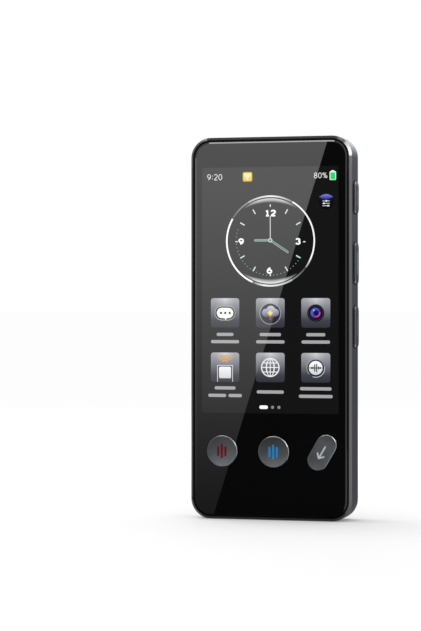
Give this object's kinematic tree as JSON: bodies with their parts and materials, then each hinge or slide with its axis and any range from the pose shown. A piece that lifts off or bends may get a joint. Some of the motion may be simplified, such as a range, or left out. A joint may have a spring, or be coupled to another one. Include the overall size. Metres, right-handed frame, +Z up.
{
  "type": "handheld translator",
  "caption": "Slim handheld voice translator with a glass front, round and pill front keys, side keys with coloured windows, a back camera, a speaker grille and a lanyard slot.",
  "frame": {"origin": "middle of the bottom end, on the surface that the translator stands on", "axes": "+Z up the body's length, -Y out of the glass front, +X to the side that carries the keys"},
  "size_m": [0.0596, 0.0142, 0.137],
  "materials": {
    "frame_metal": "bead-blasted and dark grey anodised",
    "cover_metal": "bead-blasted and grey anodised",
    "front_glass": "tempered glass, black printed behind",
    "black_rubber": "soft black rubber",
    "lcd_glass": "liquid crystal cell",
    "backlight_tray": "tinned tray",
    "foam": "black closed-cell foam",
    "plate_metal": "stamped sheet",
    "screw_steel": "nickel-plated steel",
    "dust_mesh": "black woven mesh",
    "black_plastic": "moulded black",
    "speaker_film": "formed film with a soft surround",
    "rim_chrome": "polished bevel",
    "camera_blue": "spun face, blue anodised",
    "lens_chrome": "polished ring",
    "lens_glass": "coated lens",
    "sensor_black": "black sensor housing",
    "polyimide": "amber flexible circuit",
    "post_steel": "steel pin",
    "circuit_board": "green solder mask",
    "chip_black": "moulded package",
    "shield_steel": "tinned sheet",
    "mic_metal": "gold-plated can",
    "port_steel": "stainless shell",
    "tongue_plastic": "moulded insulator",
    "battery_foil": "laminated pouch",
    "battery_tape_yellow": "polyimide tape over the protection board",
    "adhesive_tape": "double-sided tape",
    "switch_steel": "plated switch cover",
    "bracket_steel": "bent sheet",
    "front_key_metal": "spun face with a bright bevel",
    "side_key_metal": "dark anodised",
    "red_resin": "clear red resin",
    "blue_resin": "clear blue resin"
  },
  "bodies": {
    "body": {"side_frame": "frame_metal", "front_glass": "front_glass", "glass_gasket": "black_rubber", "lcd_panel": "lcd_glass", "backlight": "backlight_tray", "display_foam": "foam", "mid_plate": "plate_metal", "plate_screws": "screw_steel", "back_cover": "cover_metal", "speaker_mesh": "dust_mesh", "speaker_gasket": "foam", "speaker_box": "black_plastic", "speaker_cone": "speaker_film", "camera_rim": "rim_chrome", "camera_plate": "camera_blue", "lens_ring": "lens_chrome", "camera_lens": "lens_glass", "camera_module": "sensor_black", "camera_flex": "polyimide", "lanyard_pocket": "black_plastic", "lanyard_post": "post_steel", "main_board": "circuit_board", "processor": "chip_black", "processor_shield": "shield_steel", "radio_shield": "shield_steel", "board_screws": "screw_steel", "lower_board": "circuit_board", "board_link": "polyimide", "microphone": "mic_metal", "mic_boot": "black_rubber", "port_shell": "port_steel", "port_tongue": "tongue_plastic", "battery": "battery_foil", "battery_board": "battery_tape_yellow", "battery_lead": "polyimide", "battery_tape": "adhesive_tape", "antenna_flex": "polyimide", "key_board": "circuit_board", "front_switches": "switch_steel", "side_bracket": "bracket_steel", "side_flex": "polyimide", "side_switches": "switch_steel"},
    "left_talk_key": {"left_talk_key": "front_key_metal"},
    "right_talk_key": {"right_talk_key": "front_key_metal"},
    "back_key": {"back_key": "front_key_metal"},
    "upper_side_key": {"upper_side_key": "side_key_metal", "upper_window": "red_resin"},
    "middle_side_key": {"middle_side_key": "side_key_metal", "middle_window": "blue_resin"},
    "lower_side_key": {"lower_side_key": "side_key_metal", "lower_window": "red_resin"}
  },
  "joints": [
    {"name": "left_talk_press", "type": "slide", "parent": "body", "child": "left_talk_key", "axis": [0, 1, 0], "range_m": [0, 0.0003], "stiffness_N_per_m": 400},
    {"name": "right_talk_press", "type": "slide", "parent": "body", "child": "right_talk_key", "axis": [0, 1, 0], "range_m": [0, 0.0003], "stiffness_N_per_m": 400},
    {"name": "back_press", "type": "slide", "parent": "body", "child": "back_key", "axis": [0, 1, 0], "range_m": [0, 0.0003], "stiffness_N_per_m": 400},
    {"name": "upper_side_press", "type": "slide", "parent": "body", "child": "upper_side_key", "axis": [-1, 0, 0], "range_m": [0, 0.0003], "stiffness_N_per_m": 400},
    {"name": "middle_side_press", "type": "slide", "parent": "body", "child": "middle_side_key", "axis": [-1, 0, 0], "range_m": [0, 0.0003], "stiffness_N_per_m": 400},
    {"name": "lower_side_press", "type": "slide", "parent": "body", "child": "lower_side_key", "axis": [-1, 0, 0], "range_m": [0, 0.0003], "stiffness_N_per_m": 400}
  ]
}
